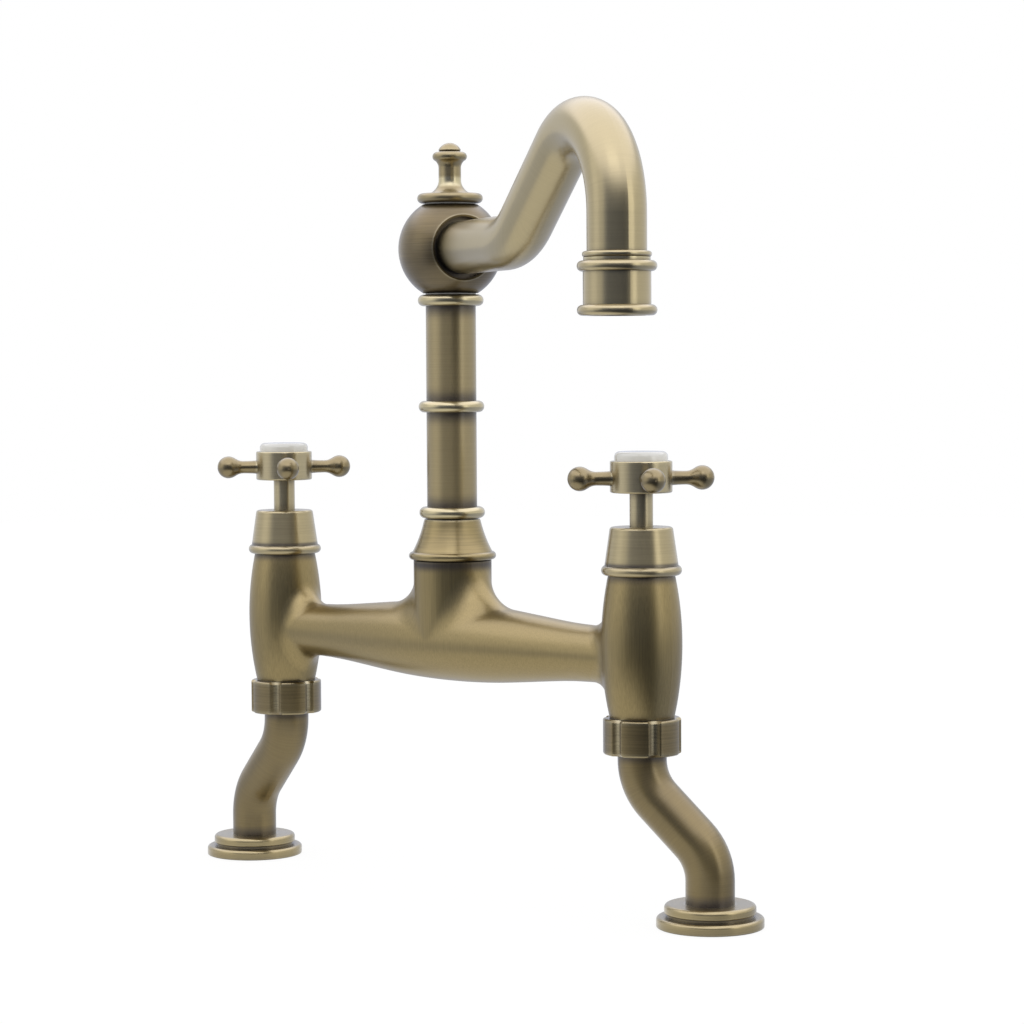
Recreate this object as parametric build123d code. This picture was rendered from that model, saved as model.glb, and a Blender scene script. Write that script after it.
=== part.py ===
"""Bridge kitchen faucet: two valve pillars joined by a cast bridge, a swivelling spout on a column,
cross handles with porcelain indices, and cranked inlet legs that swivel to suit the deck holes.

The origin is on the column's axis in the plane of the deck, +Z is up and the bridge lies along X.
The user stands on the -Y side. Lengths are in millimetres and angles in degrees.
"""

from build123d import *
from math import cos, radians, sin, sqrt, tan
import os

# ---- Layout ----
pillar_spacing = 220.0  # between the two valve axes
bridge_height = 110.2  # deck to the bridge's axis
ball_height = 282.1  # deck to the centre of the swivel ball
spout_reach = 189.0  # column axis to outlet axis
outlet_drop = 32.0  # swivel ball's centre down to the outlet's lower face
spout_heading = -25.8  # the way the spout points at rest, counted from +X towards +Y
leg_crank = 29.3  # pillar axis to deck hole axis
leg_headings = {"left": 170.5, "right": 22.4}  # the way each leg cranks at rest, from +X
arm_heading = 52.0  # one arm of each cross handle at rest, from +X
nut_turns = {"left": 0.0, "right": 30.0}  # where the flutes of each union nut stopped

# ---- Tubes, which the pieces fitted to them follow ----
column_r = 10.95
spout_tube_r = 11.4
leg_r = 10.2

# ---- Clearances ----
running_gap = 0.05  # between pieces that turn on each other
body_gap = 0.30  # between pieces that move past each other without touching
fit_gap = 0.02  # radial, between pieces screwed or pressed together
bead_edge = 0.48  # rounding of a bead's edges, as a share of its height

# ---- Bridge casting ----
barrel_rise = 34.3  # bridge axis to the pillar barrel's top
barrel_drop = 24.4  # bridge axis to the pillar barrel's foot
leg_collar_r = leg_r + 2.4
spigot_r = leg_collar_r + 0.6  # thread for the union nut
spigot_length = 8.7
barrel_top_r = 13.9
barrel_belly_r = 16.8
barrel_foot_r = spigot_r + 0.3
# The bridge's radius at shares of the way from the column's axis to a pillar's.
bridge_radii = {0.0: 17.2, 0.24: 16.4, 0.40: 14.9, 0.55: 13.3, 0.68: 12.2, 0.82: 11.8, 0.95: 12.2}
bridge_flare = 0.10  # slope of the bridge's outline where it ends in the pillars
boss_r = 17.1
boss_rise = 36.2  # bridge axis to the column boss's top
boss_edge = 0.5
pillar_blend = 11.0
boss_blend = 20.0
waterway_r = 6.5
inlet_bore_r = 7.0
chamber_r = 9.6  # valve chamber
chamber_drop = 10.2  # bridge axis to the valve seat
valve_thread_r = 10.4
valve_thread_length = 16.0
column_thread_r = column_r - 0.55
column_socket_depth = 12.4

# ---- Headwork: the ceramic quarter-turn valve in each pillar ----
cartridge_r = 9.2
cartridge_bore_r = 7.6
seal_height = 2.4
disc_height = 3.5
disc_port_r = 2.0
disc_port_offset = 4.2
window_height = 6.5
window_width = 9.0
shoulder_r = 12.3
shoulder_height = 3.5
neck_r = 8.5
neck_height = 12.0
spindle_r = 4.0
spindle_head_height = 3.0
o_ring_wire = 0.9  # spindle O-ring's section, across
cover_bead_r = 16.7
cover_bead_height = 4.1
cover_foot_r = 15.3
cover_top_r = 13.0
cover_height = 20.0
cover_edge = 1.2
cover_top_thickness = 2.6

# ---- Cross handle ----
stem_r = 4.86
stem_show = 14.1  # stem seen between the cover and the hub
stem_sink = 1.8  # stem hidden in the cover's hole
hub_r = 12.9
hub_height = 13.1
arm_reach = 25.7  # handle axis to the centre of an arm's ball
arm_drop = 0.6  # arms' axis below the hub's middle
arm_ball_r = 5.08
arm_base_r = 3.15
arm_waist_r = 2.85
arm_waist = 0.36  # share of the way from the hub to the ball's centre
arm_throat_r = 3.12
arm_throat = 0.62
arm_join = 62.0  # where the neck meets the ball, from the ball's inner pole
arm_spigot_r = 2.2
arm_spigot_length = 4.0
spline_r = 2.95
index_r = hub_r - 1.76
index_show = 4.24  # porcelain seen above the hub
index_sink = 3.0
index_edge = 2.2
screw_r = 2.0
screw_head_r = 3.8
screw_head_height = 2.6

# ---- Column ----
column_bore_r = column_r - 2.95
collar_bead_r = column_r + 8.15
collar_bead_height = 3.4
collar_foot_r = column_r + 6.55
collar_top_r = column_r + 1.55
collar_waist = 0.60  # how far the flare has come in at half its height
collar_lip = 0.8
collar_height = 17.6
bead_overhang = 3.4  # how far a bead stands out of the column
bead_height = 5.0
shadow_gap = 0.5  # turned groove between the collar and the lowest bead
column_seal_height = 2.0

# ---- Swivel ball and finial ----
ball_r = 22.7
ball_seat_r = column_r + 1.05  # flats on the ball's top and foot
core_r = column_bore_r
core_bore_r = 5.0
core_port_r = 2.6
core_bore_end = 1.5  # how far the bore runs on above the ports
core_thread_length = 12.0
core_flange_height = 1.5
core_stud_r = 4.5
core_stud_length = 10.0
core_ring_wire = 1.5
core_ring_offset = 11.0  # each O-ring from the ball's centre
gallery_r = core_r + 1.8
gallery_height = 11.0
swivel_washer_height = 0.5
swivel_washer_r = column_r + 0.05
spout_recess_r = spout_tube_r + 2.0
spout_rim_r = spout_recess_r + 0.8  # round flat on the ball's side where the spout leaves
spout_recess_depth = 4.0
spout_socket_depth = 3.2
finial_disc_r = 14.3
finial_disc_height = 4.2
finial_flare_r = 9.2  # the neck's foot, on the disc
finial_flare_height = 6.4
finial_neck_r = 4.9
finial_bead_r = 7.5
finial_bead_rise = 19.9  # disc's lower face to the bead's middle
finial_shoulder_r = 5.4  # the bead's upper edge
finial_cap_height = 3.4  # groove under the dome to the top
finial_height = 26.2

# ---- Spout ----
spout_wall = 1.6
spout_run = 69.3  # straight run from the column axis to the first bend
spout_rise_angle = 34.4
spout_bend_r = 42.3
spout_arch_r = 35.0
collar_body_r = spout_tube_r + 1.5
collar_lip_r = collar_body_r + 2.25
collar_lip_height = 4.1
collar_lip_rise = 16.6  # outlet's lower face to the upper lip's foot
collar_ring_r = spout_tube_r + 1.75
collar_ring_height = 2.3
collar_sleeve_height = 24.2
aerator_depth = 9.8
aerator_thread_r = collar_body_r - 1.9
aerator_bore_r = aerator_thread_r - 1.6
aerator_lip = 1.2
aerator_washer_height = 1.2
screen_height = 0.8
grid_bar = 1.0
grid_pitch = 3.4

# ---- Union nut ----
nut_r = spigot_r + 3.0
nut_height = 15.0
nut_lip = 2.0
nut_edge = 0.9
nut_flutes = 6
flute_r = 3.2
flute_depth = 1.2
flute_corner = 1.3  # rounding between a flute and the lobes beside it
flute_bevel = 1.1  # countersink at both ends of a flute
union_washer_height = 2.0

# ---- Inlet leg ----
leg_bore_r = leg_r - 2.8
leg_upper_corner = 58.1  # deck to where the upper straight would meet the slanting one
leg_lower_corner = 28.8
leg_bend_r = 23.7
flange_foot_r = 22.3
flange_foot_height = 4.4
flange_cap_r = 19.0
flange_height = 9.6
flange_cove = 1.3  # height of the groove between the flange's two steps
flange_cove_depth = 1.1
gasket_r = 17.5
gasket_height = 2.0
deck_thickness = 20.0  # the deck that the legs are shown clamped to
shank_r = leg_r + 0.28  # half-inch pipe thread over its crests
shank_length = 60.0  # below the deck plane
shank_relief_depth = 46.0  # deck plane to the groove above the inlet thread
shank_relief_height = 2.0
shank_relief_r = shank_r - 1.28
shank_chamfer = 1.0
washer_r = 18.0
deck_washer_height = 3.0
clamp_washer_height = 1.5
backnut_flats = 30.0
backnut_height = 8.0

# ---- Levels worked out from the above ----
barrel_top = bridge_height + barrel_rise
barrel_foot = bridge_height - barrel_drop
boss_top = bridge_height + boss_rise
spigot_foot = barrel_foot - spigot_length
valve_seat = bridge_height - chamber_drop
cover_top = barrel_top + running_gap + cover_height
hub_foot = cover_top + stem_show
hub_top = hub_foot + hub_height
arm_height = hub_foot + hub_height / 2 - arm_drop
index_seat = hub_top - index_sink
collar_top = boss_top + collar_height
ball_half = sqrt(ball_r**2 - ball_seat_r**2)
ball_foot = ball_height - ball_half
column_head = ball_foot - swivel_washer_height - 2 * running_gap
finial_foot = ball_height + ball_half + swivel_washer_height + 2 * running_gap
lower_bead = collar_top + shadow_gap
upper_bead = column_head - bead_height
middle_bead = (lower_bead + upper_bead) / 2
column_foot = boss_top - column_socket_depth + column_seal_height
outlet_foot = ball_height - outlet_drop
nut_top = barrel_foot - body_gap
nut_foot = nut_top - nut_height
union_face = spigot_foot - union_washer_height
relief_top = -shank_relief_depth

# ---- Places across the part ----
sides = {"left": -pillar_spacing / 2, "right": pillar_spacing / 2}


def corner(before, at, after, rounding):
    """The edge that rounds a corner of an outline, and the points where it starts and ends."""
    to_before = (before - at).normalized()
    to_after = (after - at).normalized()
    half = to_before.get_angle(to_after) / 2
    start = at + to_before * (rounding / tan(radians(half)))
    end = at + to_after * (rounding / tan(radians(half)))
    bisector = (to_before + to_after).normalized()
    middle = at + bisector * (rounding / sin(radians(half)) - rounding)
    return ThreePointArc(start, middle, end), start, end


def outline(*points):
    """A closed face in the XZ plane through (radius, height) or (radius, height, rounding) points."""
    places = [Vector(p[0], 0, p[1]) for p in points]
    roundings = [p[2] if len(p) > 2 else 0 for p in points]
    edges, starts, ends = [], [], []
    for i, place in enumerate(places):
        start = end = place
        if roundings[i]:
            before = places[i - 1]
            after = places[(i + 1) % len(places)]
            arc, start, end = corner(before, place, after, roundings[i])
            edges.append(arc)
        starts.append(start)
        ends.append(end)
    for i, end in enumerate(ends):
        start = starts[(i + 1) % len(starts)]
        if (start - end).length > 1e-6:
            edges.append(Line(end, start))
    return Face(Wire(edges))


def turned(*points):
    """A piece turned about the Z axis from its half outline."""
    return revolve(outline(*points), Axis.Z)


def disc(radius, foot, height):
    """A plain round piece on the Z axis."""
    return Pos(0, 0, foot) * Cylinder(radius, height, align=(Align.CENTER, Align.CENTER, Align.MIN))


def ring(outer_r, inner_r, foot, height, edge=0.0):
    """A ring about the Z axis, with its outer edges rounded."""
    top = foot + height
    return turned((inner_r, foot), (outer_r, foot, edge), (outer_r, top, edge), (inner_r, top))


def o_ring(inner_r, wire, height):
    """A round-section ring lying at a height on the Z axis."""
    return Pos(0, 0, height) * Torus(inner_r + wire / 2, wire / 2)


def tube_along(path, radius):
    """A round bar swept along a path."""
    start = Plane(origin=path @ 0, z_dir=path % 0)
    return sweep(start * Circle(radius), path)


def save(name, shape):
    """Writes one sub-part, which may hold several separate solids."""
    solids = shape.solids()
    whole = solids[0] if len(solids) == 1 else Compound(children=list(solids))
    whole.label = name
    export_step(whole, f"parts/{name}.step")


# ---- Bridge casting ----


def barrel():
    """One pillar's outer form about the Z axis, bellied between its top and foot."""
    belly = bridge_height + (barrel_rise - barrel_drop) / 2
    foot_edge = (barrel_foot_r, 0, barrel_foot)
    top_edge = (barrel_top_r, 0, barrel_top)
    side = ThreePointArc(foot_edge, (barrel_belly_r, 0, belly), top_edge)
    rest = Polyline(top_edge, (0, 0, barrel_top), (0, 0, barrel_foot), foot_edge)
    return revolve(Face(Wire(side.edges() + rest.edges())), Axis.Z)


def bridge_bar():
    """The bridge's outer form about its own axis: a bulb under the column, waisted near the pillars."""
    z = bridge_height
    right = [(share * pillar_spacing / 2, 0, z + radius) for share, radius in bridge_radii.items()]
    left = [(-x, 0, height) for x, _, height in reversed(right[1:])]
    crown = Spline(*left, *right, tangents=[(1, 0, -bridge_flare), (1, 0, bridge_flare)])
    rest = Polyline(right[-1], (right[-1][0], 0, z), (left[0][0], 0, z), left[0])
    return revolve(Face(Wire(crown.edges() + rest.edges())), Axis((0, 0, z), (1, 0, 0)))


def pillar_cavity():
    """What is bored out of a pillar: the inlet, the valve chamber and the headwork's thread."""
    thread_foot = barrel_top - valve_thread_length
    return turned(
        (0, spigot_foot - 1),
        (inlet_bore_r, spigot_foot - 1),
        (inlet_bore_r, valve_seat),
        (chamber_r, valve_seat),
        (chamber_r, thread_foot),
        (valve_thread_r, thread_foot),
        (valve_thread_r, barrel_top + 1),
        (0, barrel_top + 1),
    )


def bridge_casting():
    """Both pillars, the bridge and the column boss in one casting, blended and bored."""
    body = bridge_bar() + disc(boss_r, bridge_height, boss_rise)
    for x in sides.values():
        body += Pos(x, 0, 0) * barrel()
    crossings = body.edges().filter_by(lambda e: e.geom_type not in (GeomType.LINE, GeomType.CIRCLE))
    nearest_pillar = pillar_spacing / 4
    body = fillet(crossings.filter_by(lambda e: abs(e.center().X) > nearest_pillar), pillar_blend)
    crossings = body.edges().filter_by(lambda e: e.geom_type not in (GeomType.LINE, GeomType.CIRCLE))
    boss_edges = crossings.filter_by(lambda e: abs(e.center().X) < 1 and e.center().Z > bridge_height)
    body = fillet(boss_edges, boss_blend)
    body = chamfer(body.edges().group_by(Axis.Z)[-1], boss_edge)
    for x in sides.values():
        body += Pos(x, 0, 0) * disc(spigot_r, spigot_foot, spigot_length)
        body -= Pos(x, 0, 0) * pillar_cavity()
    waterway = Cylinder(waterway_r, pillar_spacing, rotation=(0, 90, 0))
    body -= Pos(0, 0, bridge_height) * waterway
    body -= disc(waterway_r, bridge_height, boss_rise)
    body -= disc(column_thread_r + fit_gap, boss_top - column_socket_depth, column_socket_depth + 1)
    return body


# ---- Headwork ----


def headwork_seal():
    """Rubber ring that closes the cartridge's foot on the valve seat."""
    return ring(cartridge_r, inlet_bore_r - 1.5, valve_seat, seal_height, 0.4)


def headwork_body():
    """Brass body screwed into the pillar, with side windows for the water."""
    foot = valve_seat + seal_height
    thread_foot = barrel_top - valve_thread_length
    bore_top = foot + 2 * disc_height + running_gap + spindle_head_height + 1.5
    shaft_bore_r = spindle_r + running_gap
    seat = barrel_top + shoulder_height
    body = turned(
        (cartridge_bore_r, foot),
        (cartridge_r, foot),
        (cartridge_r, thread_foot + 1),
        (valve_thread_r - fit_gap, thread_foot + 2),
        (valve_thread_r - fit_gap, barrel_top),
        (shoulder_r, barrel_top),
        (shoulder_r, seat),
        (neck_r, seat),
        (neck_r, seat + neck_height),
        (shaft_bore_r, seat + neck_height),
        (shaft_bore_r, bore_top),
        (cartridge_bore_r, bore_top),
    )
    window = Box(4 * cartridge_r, window_width, window_height)
    return body - Pos(0, 0, foot + disc_height + window_height / 2) * window


def ceramic_disc(foot, radius):
    """A flat ceramic disc with two ports."""
    plate = disc(radius, foot, disc_height)
    for y in (-disc_port_offset, disc_port_offset):
        plate -= Pos(0, y, 0) * disc(disc_port_r, foot - 1, disc_height + 2)
    return plate


def fixed_disc():
    """The ceramic disc that stays still in the cartridge."""
    return ceramic_disc(valve_seat + seal_height, cartridge_bore_r - fit_gap)


def moving_disc():
    """The ceramic disc that the spindle turns."""
    foot = valve_seat + seal_height + disc_height + running_gap
    return ceramic_disc(foot, cartridge_bore_r - body_gap)


def spindle():
    """Shaft from the moving disc up into the handle, grooved for its O-ring."""
    foot = valve_seat + seal_height + 2 * disc_height + running_gap
    head_top = foot + spindle_head_height
    groove = ring_height() - o_ring_wire / 2
    shaft_top = barrel_top + shoulder_height + neck_height
    top = spindle_top()
    shaft = turned(
        (0, foot),
        (cartridge_bore_r - body_gap, foot),
        (cartridge_bore_r - body_gap, head_top),
        (spindle_r, head_top),
        (spindle_r, groove),
        (spindle_r - o_ring_wire, groove),
        (spindle_r - o_ring_wire, groove + o_ring_wire),
        (spindle_r, groove + o_ring_wire),
        (spindle_r, shaft_top),
        (spline_r, shaft_top),
        (spline_r, top),
        (0, top),
    )
    screw_hole = disc(screw_r + fit_gap, top - 10, 11)
    return shaft - screw_hole


def ring_height():
    """Where the spindle's O-ring lies."""
    return barrel_top + shoulder_height + neck_height / 3


def spindle_top():
    """The spindle ends just under the web in the handle's hub."""
    return index_seat - screw_head_height - 2.6


def spindle_o_ring():
    """Rubber ring that seals the spindle."""
    return o_ring(spindle_r - o_ring_wire, o_ring_wire, ring_height())


def headwork_cover():
    """The visible cone with a bead at its foot, screwed on the headwork's neck."""
    foot = barrel_top + running_gap
    bead_top = foot + cover_bead_height
    seat = barrel_top + shoulder_height
    hollow_top = seat + 1.5
    neck_top = seat + neck_height
    return turned(
        (shoulder_r + body_gap, foot),
        (cover_bead_r, foot, cover_bead_height * bead_edge),
        (cover_bead_r, bead_top, cover_bead_height * bead_edge),
        (cover_foot_r, bead_top),
        (cover_top_r, cover_top, cover_edge),
        (stem_r + body_gap, cover_top),
        (stem_r + body_gap, neck_top + fit_gap),
        (neck_r + fit_gap, neck_top + fit_gap),
        (neck_r + fit_gap, hollow_top),
        (shoulder_r + body_gap, hollow_top),
    )


# ---- Cross handle ----


def handle_hub():
    """Hub with its stem, bored for the spindle, the screw and the porcelain index."""
    pocket = index_seat - screw_head_height
    stem_foot = cover_top - stem_sink
    spline_bore = spline_r + fit_gap
    hub = turned(
        (spline_bore, stem_foot),
        (stem_r, stem_foot),
        (stem_r, hub_foot),
        (hub_r, hub_foot, 0.8),
        (hub_r, hub_top, 0.5),
        (index_r + fit_gap, hub_top),
        (index_r + fit_gap, index_seat),
        (screw_head_r + 0.4, index_seat),
        (screw_head_r + 0.4, pocket),
        (screw_r + 0.2, pocket),
        (screw_r + 0.2, spindle_top()),
        (spline_bore, spindle_top()),
    )
    seat = sqrt(hub_r**2 - arm_base_r**2)
    for turn in range(4):
        socket = Cylinder(arm_spigot_r + fit_gap, 2 * arm_spigot_length, rotation=(0, 90, 0))
        face = Cylinder(arm_base_r + 0.1, 2.0, rotation=(0, 90, 0))
        cut = Pos(seat, 0, 0) * socket + Pos(seat + 1.0, 0, 0) * face
        hub -= Pos(0, 0, arm_height) * Rot(0, 0, arm_heading + 90 * turn) * cut
    return hub


def handle_arm():
    """One arm along +X: a spigot, a waisted neck and a ball that flows out of it."""
    seat = sqrt(hub_r**2 - arm_base_r**2)
    neck = arm_reach - seat
    join = radians(arm_join)
    join_x = arm_reach - arm_ball_r * cos(join)
    join_r = arm_ball_r * sin(join)
    tip = arm_reach + arm_ball_r
    inner = seat - arm_spigot_length + 0.2
    top_ball = Vector(arm_reach, 0, arm_ball_r)
    edges = [
        Line((inner, 0, 0), (inner, 0, arm_spigot_r)),
        Line((inner, 0, arm_spigot_r), (seat, 0, arm_spigot_r)),
        Line((seat, 0, arm_spigot_r), (seat, 0, arm_base_r)),
        Spline(
            (seat, 0, arm_base_r),
            (seat + arm_waist * neck, 0, arm_waist_r),
            (seat + arm_throat * neck, 0, arm_throat_r),
            (join_x, 0, join_r),
            tangents=[(1, 0, -0.15), (sin(join), 0, cos(join))],
        ),
        ThreePointArc((join_x, 0, join_r), top_ball, (tip, 0, 0)),
        Line((tip, 0, 0), (inner, 0, 0)),
    ]
    return revolve(Face(Wire(edges)), Axis.X)


def handle_arms():
    """The four arms of a cross handle."""
    hub_centre = Pos(0, 0, arm_height)
    arms = [hub_centre * Rot(0, 0, arm_heading + 90 * turn) * handle_arm() for turn in range(4)]
    return Compound(children=[arm.solids()[0] for arm in arms])


def handle_screw():
    """Screw that holds the hub on the spindle, with a slot in its head."""
    seat = index_seat - screw_head_height
    top = index_seat - 0.2
    screw = turned(
        (0, spindle_top() - 8),
        (screw_r, spindle_top() - 8),
        (screw_r, seat),
        (screw_head_r, seat),
        (screw_head_r, top, 0.5),
        (0, top),
    )
    slot = Box(2 * screw_head_r, 1.0, 2.4, align=(Align.CENTER, Align.CENTER, Align.CENTER))
    return screw - Pos(0, 0, top) * slot


def porcelain_index():
    """Plain glazed disc set in the hub's top, slightly domed."""
    top = hub_top + index_show
    crown = 0.35
    return turned((0, index_seat), (index_r, index_seat), (index_r, top - crown, index_edge), (0, top))


# ---- Column ----


def column_collar():
    """Flared collar with a thin bead, over the column's root."""
    bead_top = boss_top + collar_bead_height
    lip = collar_top - collar_lip
    inner = column_r + fit_gap
    waist_r = collar_foot_r - (collar_foot_r - collar_top_r) * collar_waist
    middle = (waist_r, 0, (bead_top + lip) / 2)
    bead = ring(collar_bead_r, inner, boss_top, collar_bead_height, collar_bead_height * bead_edge)
    flare = ThreePointArc((collar_foot_r, 0, bead_top), middle, (collar_top_r, 0, lip))
    shell = Polyline(
        (collar_top_r, 0, lip),
        (collar_top_r - 0.3, 0, collar_top),
        (inner, 0, collar_top),
        (inner, 0, bead_top - 1),
        (collar_foot_r, 0, bead_top - 1),
        (collar_foot_r, 0, bead_top),
    )
    return bead + revolve(Face(Wire(flare.edges() + shell.edges())), Axis.Z)


def column_seal():
    """Rubber ring under the column tube's end, in the boss."""
    return ring(column_thread_r - 0.2, column_bore_r, boss_top - column_socket_depth, column_seal_height)


def column_tube():
    """The column's tube, screwed into the boss and carrying the swivel core."""
    return turned(
        (column_bore_r, column_foot),
        (column_thread_r, column_foot),
        (column_thread_r, boss_top),
        (column_r, boss_top),
        (column_r, column_head - core_flange_height),
        (column_bore_r, column_head - core_flange_height),
    )


def column_bead(foot):
    """A rounded ring round the column."""
    return ring(column_r + bead_overhang, column_r + fit_gap, foot, bead_height, bead_height * bead_edge)


def swivel_core():
    """Ported pin that the ball turns on, screwed into the column's top."""
    foot = column_head - core_flange_height - core_thread_length
    flange = column_head - core_flange_height
    groove_r = core_r - core_ring_wire + running_gap
    low_ring = ball_height - core_ring_offset - core_ring_wire / 2
    high_ring = ball_height + core_ring_offset - core_ring_wire / 2
    core = turned(
        (0, foot),
        (column_bore_r - fit_gap, foot),
        (column_bore_r - fit_gap, flange),
        (column_r, flange),
        (column_r, column_head),
        (core_r, column_head),
        (core_r, low_ring),
        (groove_r, low_ring),
        (groove_r, low_ring + core_ring_wire),
        (core_r, low_ring + core_ring_wire),
        (core_r, high_ring),
        (groove_r, high_ring),
        (groove_r, high_ring + core_ring_wire),
        (core_r, high_ring + core_ring_wire),
        (core_r, finial_foot),
        (core_stud_r, finial_foot),
        (core_stud_r, finial_foot + core_stud_length),
        (0, finial_foot + core_stud_length),
    )
    bore_top = ball_height + core_port_r + core_bore_end
    core -= disc(core_bore_r, foot - 1, bore_top - foot + 1)
    for turn in (0, 90):
        port = Cylinder(core_port_r, 4 * core_r, rotation=(0, 90, 0))
        core -= Pos(0, 0, ball_height) * Rot(0, 0, turn) * port
    return core


def core_o_ring(offset):
    """Rubber ring in the core, above or below its ports."""
    return o_ring(core_r - core_ring_wire + running_gap, core_ring_wire, ball_height + offset)


def swivel_washer(foot):
    """Low-friction ring between the ball and what clamps it."""
    return ring(swivel_washer_r, core_r + 2 * running_gap, foot, swivel_washer_height)


def finial():
    """Turned finial screwed on the core: disc, waisted neck, bead and dome."""
    disc_top = finial_foot + finial_disc_height
    bead = finial_foot + finial_bead_rise
    top = finial_foot + finial_height
    neck_foot = disc_top + finial_flare_height
    neck_top = bead - 4.4
    groove = top - finial_cap_height
    flare = finial_flare_r - finial_neck_r
    sweep_up = ThreePointArc(
        (finial_flare_r, 0, disc_top),
        (finial_neck_r + 0.32 * flare, 0, disc_top + 0.32 * finial_flare_height),
        (finial_neck_r, 0, neck_foot),
    )
    bead_foot = (finial_shoulder_r + 0.9, 0, bead - 1.5)
    bead_head = (finial_shoulder_r, 0, bead + 2.3)
    sweep_out = ThreePointArc((finial_neck_r, 0, neck_top), (finial_neck_r + 0.5, 0, bead - 2.6), bead_foot)
    bead_side = ThreePointArc(bead_foot, (finial_bead_r, 0, bead), bead_head)
    dome_foot = groove + 0.3
    dome_r = (finial_neck_r**2 + (top - dome_foot) ** 2) / (2 * (top - dome_foot))
    dome_middle = top - dome_r + sqrt(dome_r**2 - (finial_neck_r / 2) ** 2)
    dome = ThreePointArc((finial_neck_r, 0, dome_foot), (finial_neck_r / 2, 0, dome_middle), (0, 0, top))
    profile = [
        Line((0, 0, disc_top), (finial_flare_r, 0, disc_top)),
        sweep_up,
        Line((finial_neck_r, 0, neck_foot), (finial_neck_r, 0, neck_top)),
        sweep_out,
        bead_side,
        Line(bead_head, (finial_neck_r - 0.4, 0, groove - 0.2)),
        Line((finial_neck_r - 0.4, 0, groove - 0.2), (finial_neck_r, 0, dome_foot)),
        dome,
        Line((0, 0, top), (0, 0, disc_top)),
    ]
    stem = revolve(Face(Wire(profile)), Axis.Z)
    edge = finial_disc_height * bead_edge
    plate = turned(
        (0, finial_foot),
        (finial_disc_r, finial_foot, edge),
        (finial_disc_r, disc_top, edge),
        (0, disc_top),
    )
    hole = disc(core_stud_r + fit_gap, finial_foot - 1, core_stud_length + 2)
    return plate + stem - hole


# ---- Spout, modelled along +X and then swung to its heading ----


def spout_path(start):
    """Centre line from a distance along the ball's axis to just inside the outlet."""
    rise = radians(spout_rise_angle)
    first = spout_run + spout_bend_r * tan(rise / 2)
    second_height = ball_height + (spout_reach - first) * tan(rise)
    end = outlet_foot + aerator_depth + 2.0
    return FilletPolyline(
        (start, 0, ball_height),
        (first, 0, ball_height),
        (spout_reach, 0, second_height),
        (spout_reach, 0, end),
        radius=[spout_bend_r, spout_arch_r],
    )


def swung(shape):
    """Turns a spout piece from +X to the spout's heading at rest."""
    return Rot(0, 0, spout_heading) * shape


def recess_floor():
    """Distance from the ball's centre to the floor of the recess round the spout."""
    return sqrt(ball_r**2 - spout_rim_r**2) - spout_recess_depth


def spout_ball():
    """Hollow ball that turns on the core, with a recessed socket for the spout."""
    ball = Pos(0, 0, ball_height) * Sphere(ball_r) & disc(2 * ball_r, ball_foot, 2 * ball_half)
    ball -= disc(core_r + running_gap, ball_foot - 1, 2 * ball_half + 2)
    ball -= disc(gallery_r, ball_height - gallery_height / 2, gallery_height)
    rim = sqrt(ball_r**2 - spout_rim_r**2)
    socket = recess_floor() - spout_socket_depth
    cut = turned(
        (0, 0),
        (waterway_r, 0),
        (waterway_r, socket),
        (spout_tube_r + fit_gap, socket),
        (spout_tube_r + fit_gap, recess_floor()),
        (spout_recess_r, recess_floor()),
        (spout_recess_r, rim - 0.5),
        (spout_rim_r, rim),
        (2 * ball_r, rim),
        (2 * ball_r, 2 * ball_r),
        (0, 2 * ball_r),
    )
    return swung(ball - Pos(0, 0, ball_height) * Rot(0, 90, 0) * cut)


def spout_tube():
    """The bent tube."""
    path = spout_path(recess_floor() - spout_socket_depth)
    return swung(tube_along(path, spout_tube_r) - tube_along(path, spout_tube_r - spout_wall))


def at_outlet(shape):
    """Moves a piece from the Z axis to the outlet."""
    return swung(Pos(spout_reach, 0, 0) * shape)


def outlet_collar():
    """Turned collar over the spout's end, threaded inside for the aerator."""
    sleeve_r = spout_tube_r + fit_gap
    lip_edge = collar_lip_height * bead_edge
    upper = outlet_foot + collar_lip_rise
    ring_foot = outlet_foot + collar_sleeve_height - collar_ring_height
    top = outlet_foot + collar_sleeve_height
    seat = outlet_foot + aerator_depth
    step = seat + 2.0
    return turned(
        (aerator_thread_r, outlet_foot),
        (collar_lip_r, outlet_foot, lip_edge),
        (collar_lip_r, outlet_foot + collar_lip_height, lip_edge),
        (collar_body_r, outlet_foot + collar_lip_height),
        (collar_body_r, upper),
        (collar_lip_r, upper, lip_edge),
        (collar_lip_r, upper + collar_lip_height, lip_edge),
        (collar_body_r - 0.2, upper + collar_lip_height),
        (collar_body_r - 0.2, ring_foot),
        (collar_ring_r, ring_foot, 1.0),
        (collar_ring_r, top, 1.0),
        (sleeve_r, top),
        (sleeve_r, step),
        (aerator_bore_r, step),
        (aerator_bore_r, seat),
        (aerator_thread_r, seat),
    )


def aerator_washer():
    """Rubber ring above the aerator."""
    foot = outlet_foot + aerator_depth - aerator_washer_height
    return ring(aerator_thread_r - fit_gap, aerator_bore_r - 0.4, foot, aerator_washer_height)


def aerator_housing():
    """Ring screwed into the collar, with a lip that holds the insert."""
    foot = outlet_foot + 0.4
    top = outlet_foot + aerator_depth - aerator_washer_height
    return turned(
        (aerator_bore_r - 1.2, foot),
        (aerator_thread_r - fit_gap, foot, 0.4),
        (aerator_thread_r - fit_gap, top),
        (aerator_bore_r, top),
        (aerator_bore_r, foot + aerator_lip),
        (aerator_bore_r - 1.2, foot + aerator_lip),
    )


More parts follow.
